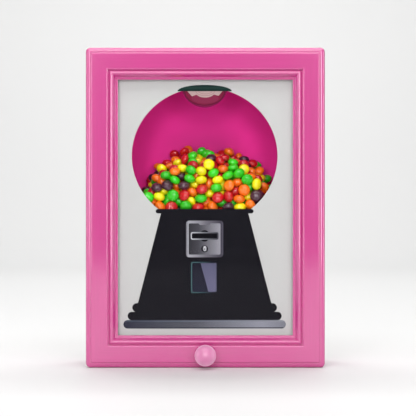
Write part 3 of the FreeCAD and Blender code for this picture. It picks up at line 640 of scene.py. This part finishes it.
def print_chute_door():
    """The drawn flap: a teal edge and a slanting reflection over its right side."""
    centre = middle(DOOR_LOW, DOOR_HIGH)
    width, height = DOOR_HIGH.x - DOOR_LOW.x, DOOR_HIGH.z - DOOR_LOW.z
    y = DOOR_LOW.y - INK_T
    edge = 1.1 * MM
    teal = ink_gradient(
        "print_door_edge", "X", DOOR_LOW.x, DOOR_HIGH.x,
        [(0.0, srgb(74, 108, 112)), (0.4, srgb(58, 84, 92)), (0.8, srgb(34, 36, 46))],
    )
    outline = rounded_rectangle(centre, width, height, 2.0 * MM)
    inner = rounded_rectangle(centre, width - 2 * edge, height - 2 * edge, 1.2 * MM)
    printed_shape("chute_door_edge", outline, y, teal, inner)
    panel = 1.4 * MM
    sheen = ink_gradient(
        "print_door_sheen", "Z", DOOR_LOW.z, DOOR_HIGH.z,
        [(0.0, srgb(112, 109, 138)), (1.0, srgb(94, 92, 118))],
    )
    right, top, low = DOOR_HIGH.x - 0.4 * MM, DOOR_HIGH.z - panel, DOOR_LOW.z + panel
    slant = [
        (DOOR_LOW.x + 0.36 * width, top), (DOOR_LOW.x + 0.66 * width, low), (right, low),
        (right, top),
    ]
    printed_shape("chute_door_sheen", slant, y, sheen)


def print_plinth_edges():
    """A lit line along the top of the drawn foot and a dark one under it."""
    centre = middle(PLINTH_LOW, PLINTH_HIGH)
    half = (PLINTH_HIGH.x - PLINTH_LOW.x) / 2
    y = PLINTH_LOW.y - INK_T
    lit = ink_gradient(
        "print_plinth_lit", "X", PLINTH_LOW.x, PLINTH_HIGH.x,
        [(0.0, srgb(70, 78, 98)), (0.6, srgb(120, 126, 140)), (1.0, srgb(150, 153, 160))],
    )
    shade = ink("print_plinth_shade", srgb(52, 54, 64), 0.08)
    for name, material, z, thick in (
        ("base_plate_lit_edge", lit, PLINTH_HIGH.z - 1.1 * MM, 1.0 * MM),
        ("base_plate_shade_edge", shade, PLINTH_LOW.z + 0.9 * MM, 0.9 * MM),
    ):
        line = rounded_rectangle((centre[0], z), 2 * half - 5 * MM, thick, thick * 0.49, 4)
        printed_shape(name, line, y, material)


def print_globe_shine():
    """The drawn reflection under the lid: a dark band, a lighter pool and a pale crown."""
    x, top = GLOBE_X, SHINE_HIGH.z
    half, sag = (SHINE_HIGH.x - SHINE_LOW.x) / 2, top - SHINE_LOW.z
    y = SHINE_LOW.y

    def bowl(inset, lift):
        """A shallow bowl that hangs from the lid's edge, smaller by inset."""
        return circle_points((x, top), half - inset, sag - lift, 180, 360, 40)

    wine = ink("print_shine_wine", (0.20, 0.013, 0.045, 1.0), 0.05)
    rose = ink("print_shine_rose", (0.235, 0.024, 0.068, 1.0), 0.05)
    pale = ink("print_shine_pale", (0.52, 0.36, 0.35, 1.0), 0.04)
    blush = ink("print_shine_blush", (0.38, 0.22, 0.225, 1.0), 0.04)
    line = ink("print_shine_line", (0.10, 0.006, 0.03, 1.0), 0.05)
    printed_shape("shine_line", bowl(2.0 * MM, 2.0 * MM), y - INK_T / 2, line)
    printed_shape("shine_bowl", bowl(3.0 * MM, 3.0 * MM), y - INK_T, wine)
    printed_shape(
        "shine_pool", circle_points((x + 0.4 * MM, top - 7.6 * MM), 14.5 * MM, 5.6 * MM),
        y - 2 * INK_T, rose,
    )
    crown = [(x - 18.4 * MM, top), (x - 13.6 * MM, top - 5.5 * MM), (x - 9.2 * MM, top - 3.9 * MM)]
    crown += circle_points((x + 0.6 * MM, top - 2.4 * MM), 9.2 * MM, 4.4 * MM, 200, 340, 16)
    crown += [(x + 10.4 * MM, top - 3.6 * MM), (x + 14.8 * MM, top - 5.0 * MM)]
    crown += [(x + 19.0 * MM, top)]
    printed_shape("shine_crown", crown, y - 3 * INK_T, pale)
    for n, (wide, deep) in enumerate(((10.2, 5.0), (7.4, 3.2))):
        outer = circle_points((x + 0.6 * MM, top), wide * MM, deep * MM, 180, 360, 30)
        inner = circle_points((x + 0.6 * MM, top), (wide - 0.5) * MM, (deep - 0.5) * MM, 180, 360, 30)
        printed_shape(
            f"shine_arc_{n + 1}", outer + inner[::-1], y - 4 * INK_T, blush
        )


# ---- candies ---------------------------------------------------------------------------------
def candy_mesh_data(segments, rings):
    """Vertices and faces of one button-shaped candy of radius 1, flattened along Z."""
    verts = [(0.0, 0.0, 1.0)]
    for ring in range(1, rings):
        angle = math.pi * ring / rings
        for i in range(segments):
            turn = 2 * math.pi * i / segments
            # the rim is a little fuller than an ellipsoid's
            r = math.sin(angle) ** 0.86
            verts.append((r * math.cos(turn), r * math.sin(turn), math.cos(angle)))
    verts.append((0.0, 0.0, -1.0))
    last = len(verts) - 1
    faces = []
    for i in range(segments):
        j = (i + 1) % segments
        faces.append((0, 1 + i, 1 + j))
        faces.append((last, last - segments + j, last - segments + i))
        for ring in range(rings - 2):
            a, b = 1 + ring * segments, 1 + (ring + 1) * segments
            faces.append((a + i, b + i, b + j, a + j))
    return np.array(verts), faces


def heap_top(place):
    """Height of the heap's surface at a place: a hill along x that leans on the back."""
    points = [
        (-114, 172), (-84, 184), (-66, 200), (-54, 218), (-40, 229), (-24, 240), (28, 241),
        (44, 232), (60, 218), (72, 199), (90, 186), (114, 174),
    ]
    xs, zs = zip(*points)
    hill = float(np.interp(place.x / MM, xs, zs)) * MM
    return hill - HEAP_LEAN * (HEAP_HIGH.y - place.y)


def settling_starts(rng):
    """Loose starting places above the hidden floor, each with a turn and a size."""
    starts = []
    columns = int((HEAP_HIGH.x - HEAP_LOW.x) / START_STEP)
    row_step = (HEAP_HIGH.y - HEAP_LOW.y - 2 * CANDY_R) / 3
    levels = int(BED_RISE * START_LOOSENESS / START_LAYER)
    for level in range(levels):
        shift = 0.5 * (level % 2)
        for i in range(columns - level % 2):
            for j in range(4 - level % 2):
                x = HEAP_LOW.x + CANDY_R + (i + shift) * START_STEP
                y = HEAP_LOW.y + CANDY_R + (j + shift) * row_step
                z = SETTLED_FLOOR + CANDY_HALF_T + level * START_LAYER
                jitter = Vector(rng.uniform(-0.4, 0.4) for _ in range(3)) * MM
                turn = Euler([rng.uniform(0, 2 * math.pi) for _ in range(3)])
                size = 1.05 - 0.19 * level / levels + rng.uniform(-0.03, 0.03)
                starts.append((Vector((x, y, z)) + jitter, turn, size))
    return starts


def pocket_starts(rng):
    """A few candies above the slide's pocket."""
    starts = []
    for n in range(6):
        x = POCKET_LOW.x + (7.5 + 9.3 * (n % 3)) * MM
        y = (POCKET_LOW.y + POCKET_HIGH.y) / 2 + rng.uniform(-1, 1) * MM
        z = POCKET_LOW.z + (6 + 9.5 * (n // 3)) * MM
        turn = Euler([rng.uniform(-0.5, 0.5) for _ in range(3)])
        starts.append((Vector((x, y, z)), turn, 0.97))
    return starts


def solver_candies(starts):
    verts, faces = candy_mesh_data(10, 6)
    squash = np.array((CANDY_R, CANDY_R, CANDY_HALF_T)) * WORLD_SCALE
    mesh = bpy.data.meshes.new("solver_candy")
    mesh.from_pydata((verts * squash).tolist(), [], faces)
    candies = []
    for place, turn, size in starts:
        candy = bpy.data.objects.new("solver", mesh)
        bpy.context.scene.collection.objects.link(candy)
        candy.location = place * WORLD_SCALE
        candy.rotation_euler = turn
        candy.scale = (size, size, size)
        candies.append(candy)
    return candies


def solver_wall(low, high):
    """A box for the solver, with its origin in its middle."""
    low, high = Vector(low) * WORLD_SCALE, Vector(high) * WORLD_SCALE
    half = (high - low) / 2
    mesh = bpy.data.meshes.new("solver_wall")
    corners = [
        (x * half.x, y * half.y, z * half.z) for x in (-1, 1) for y in (-1, 1) for z in (-1, 1)
    ]
    sides = [(0, 1, 3, 2), (4, 6, 7, 5), (0, 4, 5, 1), (2, 3, 7, 6), (0, 2, 6, 4), (1, 5, 7, 3)]
    mesh.from_pydata(corners, [], sides)
    wall = bpy.data.objects.new("solver_wall", mesh)
    wall.location = (low + high) / 2
    bpy.context.scene.collection.objects.link(wall)
    return wall


def make_rigid(group, kind, shape):
    """Makes solver objects rigid bodies that grip each other and hardly bounce."""
    bpy.ops.object.select_all(action="DESELECT")
    for member in group:
        member.select_set(True)
    bpy.context.view_layer.objects.active = group[0]
    bpy.ops.rigidbody.objects_add(type=kind)
    for member in group:
        body = member.rigid_body
        body.collision_shape = shape
        body.use_margin = True
        body.collision_margin = 0.002
        body.friction = 1.3
        body.restitution = 0.0
        body.linear_damping = 0.25
        body.angular_damping = 0.85


def settle(starts, walls, frames):
    """Drops candies as rigid bodies and gives their final placements."""
    scene = bpy.context.scene
    before = set(bpy.data.objects)
    bpy.ops.rigidbody.world_add()
    world = scene.rigidbody_world
    world.substeps_per_frame = 8
    world.solver_iterations = 12
    scene.gravity = (0, 0, -30)
    candies = solver_candies(starts)
    barriers = [solver_wall(low, high) for low, high in walls]
    make_rigid(candies, "ACTIVE", "CONVEX_HULL")
    make_rigid(barriers, "PASSIVE", "BOX")
    world.point_cache.frame_start = 1
    world.point_cache.frame_end = frames + 1
    for number in range(1, frames + 1):
        scene.frame_set(number)
    graph = bpy.context.evaluated_depsgraph_get()
    ends = []
    for candy, (_, _, size) in zip(candies, starts):
        moved = candy.evaluated_get(graph).matrix_world
        place, turn, _ = moved.decompose()
        ends.append((place / WORLD_SCALE, turn.to_euler(), size))
    bpy.ops.rigidbody.world_remove()
    for made in set(bpy.data.objects) - before:
        bpy.data.objects.remove(made)
    scene.frame_set(1)
    return ends


def walls_round(low, high, floor, outer_low, outer_high):
    """A floor slab and four walls round a well, out to the outer corners."""
    return [
        (outer_low, (outer_high.x, outer_high.y, floor)),
        ((outer_low.x, outer_low.y, floor), (low.x, outer_high.y, outer_high.z)),
        ((high.x, outer_low.y, floor), outer_high),
        ((outer_low.x, outer_low.y, floor), (outer_high.x, low.y, outer_high.z)),
        ((outer_low.x, high.y, floor), outer_high),
    ]


def heap_walls():
    """The solver's walls round the visible heap and round the slide's pocket."""
    low, high = HEAP_LOW, HEAP_HIGH
    outer_low = Vector((low.x - WALL_T, low.y - WALL_T, SETTLED_FLOOR - WALL_T))
    outer_high = Vector((high.x + WALL_T, high.y + WALL_T, WALL_TOP))
    pocket_outer_low = Vector((-WALL_T, -WALL_T, -WALL_T))
    pocket_outer_high = Vector((WALL_T, WALL_T, POCKET_HIGH.z + 3 * MM))
    return walls_round(low, high, SETTLED_FLOOR, outer_low, outer_high) + walls_round(
        POCKET_LOW, POCKET_HIGH, POCKET_LOW.z, pocket_outer_low, pocket_outer_high
    )


def hidden_places(rng):
    """Candies packed in staggered layers down the ramps and the funnel, all out of sight."""
    places = []
    pitch = HIDDEN_PITCH
    slope = (RAMP_HIGH.z - RAMP_LOW.z) / (RAMP_HIGH.x - RAMP_LOW.x)
    z = RAMP_LOW.z - 28 * MM
    level = 0
    while z < SETTLED_FLOOR - 2 * MM:
        rise = z - RAMP_LOW.z
        if rise < 9 * MM:
            share = max(0.0, (z - (RAMP_LOW.z - 32 * MM)) / (41 * MM))
            half_x = (9 + 21 * share) * MM
            half_y = (2 + 18 * share) * MM
            mid_y = POCKET_LOW.y + 8.6 * MM
        else:
            half_x = min(HEAP_HIGH.x, RAMP_LOW.x + rise / slope - 9 * MM) - CANDY_R
            half_y = (HEAP_HIGH.y - HEAP_LOW.y) / 2 - CANDY_R
            mid_y = (HEAP_HIGH.y + HEAP_LOW.y) / 2
        count_x = max(1, int(2 * half_x / pitch) + 1)
        count_y = max(1, int(2 * half_y / pitch) + 1)
        for i in range(count_x):
            for j in range(count_y):
                x = -half_x + (i + 0.5 * (level % 2)) * pitch if count_x > 1 else 0.0
                y = mid_y - half_y + (j + 0.5 * (level % 2)) * pitch if count_y > 1 else mid_y
                if x > half_x + 0.1 * MM or y > mid_y + half_y + 0.1 * MM:
                    continue
                turn = Euler([rng.uniform(0, 2 * math.pi) for _ in range(3)])
                places.append((Vector((x, y, z)), turn, 0.97))
        level += 1
        z += pitch * 0.82
    return places


def in_heap(place):
    """Whether a candy's middle is inside the box and under the heap's surface."""
    across = HEAP_LOW.x < place.x < HEAP_HIGH.x
    deep = HEAP_LOW.y < place.y < HEAP_HIGH.y
    return across and deep and place.z < heap_top(place)


def top_of(candy):
    """Height of a candy's highest point."""
    place, turn, size = candy
    up = turn.to_matrix()[2]
    reach = Vector((up[0] * CANDY_R, up[1] * CANDY_R, up[2] * CANDY_HALF_T))
    return place.z + size * reach.length


def candy_piece(name, material, placements, shape, body):
    """One mesh that holds many candies of a colour. Each has its own shade."""
    verts, faces = shape
    squash = np.array((CANDY_R, CANDY_R, CANDY_HALF_T))
    all_verts, all_faces, shades = [], [], []
    rng = random.Random(name)
    for place, turn, size in placements:
        matrix = np.array(turn.to_matrix())
        fuller = 1 + rng.uniform(-0.05, 0.07)
        moved = (verts * squash * size * (1, 1, fuller)) @ matrix.T + np.array(place)
        start = len(all_verts) * len(verts)
        all_verts.append(moved)
        all_faces += [tuple(start + v for v in face) for face in faces]
        shades += [rng.random()] * len(verts)
    mesh = bpy.data.meshes.new(name)
    mesh.from_pydata(np.concatenate(all_verts).tolist(), [], all_faces)
    mesh.attributes.new("shade", "FLOAT", "POINT").data.foreach_set("value", shades)
    mesh.polygons.foreach_set("use_smooth", [True] * len(mesh.polygons))
    return new_piece(name, mesh, material, body)


def pour_candies():
    """Replaces both plain candy solids with loose candies: one mesh for each place and colour."""
    rng = random.Random(7)
    tones = random.Random(5)
    starts = settling_starts(rng)
    portion = pocket_starts(rng)
    ends = settle(starts + portion, heap_walls(), SETTLING_FRAMES)
    heap, portion = ends[: len(starts)], ends[len(starts):]
    inside = [candy for candy in heap if in_heap(candy[0])]
    hidden = hidden_places(rng)
    portion = [candy for candy in portion if top_of(candy) < POCKET_HIGH.z + 0.4 * MM]
    names = list(CANDY_COLOURS)
    materials = {n: sugar_shell(f"sugar_{n}", srgb(*CANDY_COLOURS[n])) for n in names}
    for label, group, shape, body, node in (
        ("heap_candies", inside, candy_mesh_data(24, 12), "cabinet", "candy_fill"),
        ("hopper_candies", hidden, candy_mesh_data(14, 8), "cabinet", "candy_fill"),
        ("portion_candies", portion, candy_mesh_data(24, 12), "slide_unit", "candy_portion"),
    ):
        drawn = tones.choices(names, [CANDY_SHARES[name] for name in names], k=len(group))
        for name in names:
            picked = [c for c, colour in zip(group, drawn) if colour == name]
            if picked:
                piece = candy_piece(
                    f"{label}_{name}", materials[name], picked, shape, body
                )
                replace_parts(piece, node)


# ---- stage -----------------------------------------------------------------------------------
def build_stage():
    """A pale table that sweeps up into the backdrop."""
    start, radius, rise = 2.2, 1.0, 3.0
    profile = [(-4.0, 0.0), (start, 0.0)]
    for i in range(1, 17):
        angle = math.radians(90 * i / 16)
        profile.append((start + radius * math.sin(angle), radius * (1 - math.cos(angle))))
    profile.append((start + radius, rise))
    mesh = bpy.data.meshes.new("backdrop")
    verts = [(side * 4.5, y, z) for y, z in profile for side in (-1, 1)]
    faces = [(2 * i, 2 * i + 1, 2 * i + 3, 2 * i + 2) for i in range(len(profile) - 1)]
    mesh.from_pydata(verts, [], faces)
    mesh.polygons.foreach_set("use_smooth", [True] * len(mesh.polygons))
    sweep = bpy.data.objects.new("backdrop", mesh)
    bpy.context.scene.collection.objects.link(sweep)
    pale = Shader("pale_table", (0.695, 0.695, 0.691, 1.0), 0.55, Specular_IOR_Level=0.2)
    mesh.materials.append(pale.material)


def area_light(name, place, width, height, power, target=LIGHT_TARGET):
    data = bpy.data.lights.new(name, "AREA")
    data.shape = "RECTANGLE"
    data.size = width
    data.size_y = height
    data.energy = power
    light = bpy.data.objects.new(name, data)
    light.location = place
    light.rotation_euler = (target - Vector(place)).to_track_quat("-Z", "Y").to_euler()
    bpy.context.scene.collection.objects.link(light)


def build_world():
    """A pale studio all round, with a dark cloth behind the camera for the pane to mirror."""
    world = bpy.data.worlds.new("studio")
    world.use_nodes = True
    tree = world.node_tree
    background = tree.nodes["Background"]
    background.inputs["Strength"].default_value = WORLD_STRENGTH
    coords = tree.nodes.new("ShaderNodeTexCoord")
    parts = tree.nodes.new("ShaderNodeSeparateXYZ")
    cloth = tree.nodes.new("ShaderNodeMapRange")
    cloth.interpolation_type = "SMOOTHSTEP"
    cloth.inputs["From Min"].default_value = -0.985
    cloth.inputs["From Max"].default_value = -0.93
    shades = tree.nodes.new("ShaderNodeMix")
    shades.data_type = "RGBA"
    shades.inputs["A"].default_value = (0.10, 0.10, 0.11, 1.0)
    shades.inputs["B"].default_value = (0.98, 0.985, 1.0, 1.0)
    tree.links.new(coords.outputs["Generated"], parts.inputs["Vector"])
    tree.links.new(parts.outputs["Y"], cloth.inputs["Value"])
    tree.links.new(cloth.outputs["Result"], shades.inputs["Factor"])
    tree.links.new(shades.outputs["Result"], background.inputs["Color"])
    bpy.context.scene.world = world


def build_lights():
    """Softboxes above, beside and behind, and strips round the camera that reach into the box."""
    area_light("overhead_softbox", (0.0, -0.62, 1.25), 1.6, 0.45, 9)
    area_light("rear_softbox", (0.0, 0.3, 1.3), 1.8, 0.25, 6.5)
    area_light("key_softbox", (-0.6, -1.7, 1.25), 0.26, 0.26, 3.2)
    for side in (-1, 1):
        area_light(f"side_softbox_{side}", (side * 1.3, -0.2, 0.35), 0.2, 0.9, 4)
        area_light(f"front_strip_{side}", (side * 0.65, -2.2, 0.46), 0.5, 0.9, 11.6)
    area_light("front_strip_top", (0, -2.2, 0.96), 1.1, 0.5, 10.6)
    area_light("backdrop_wash", (0.0, 1.2, 2.4), 3.0, 0.8, 67, Vector((0, 2.8, 0.2)))


def build_camera():
    data = bpy.data.cameras.new("camera")
    data.lens = CAMERA_LENS
    data.sensor_width = 36
    data.clip_start = 0.05
    data.clip_end = 20
    camera = bpy.data.objects.new("camera", data)
    camera.location = (CAMERA_X, CAMERA_Y, CAMERA_Z)
    camera.rotation_euler = (math.radians(90), 0, 0)
    bpy.context.scene.collection.objects.link(camera)
    bpy.context.scene.camera = camera


build_camera()
paint_wood()
paint_metal()
paint_plastic()
paint_prints()
print_coin_plate()
print_coin_slot()
print_coin_return()
print_chute_door()
print_plinth_edges()
print_globe_shine()
pour_candies()
build_stage()
build_world()
build_lights()
bpy.context.scene.view_settings.view_transform = "Standard"
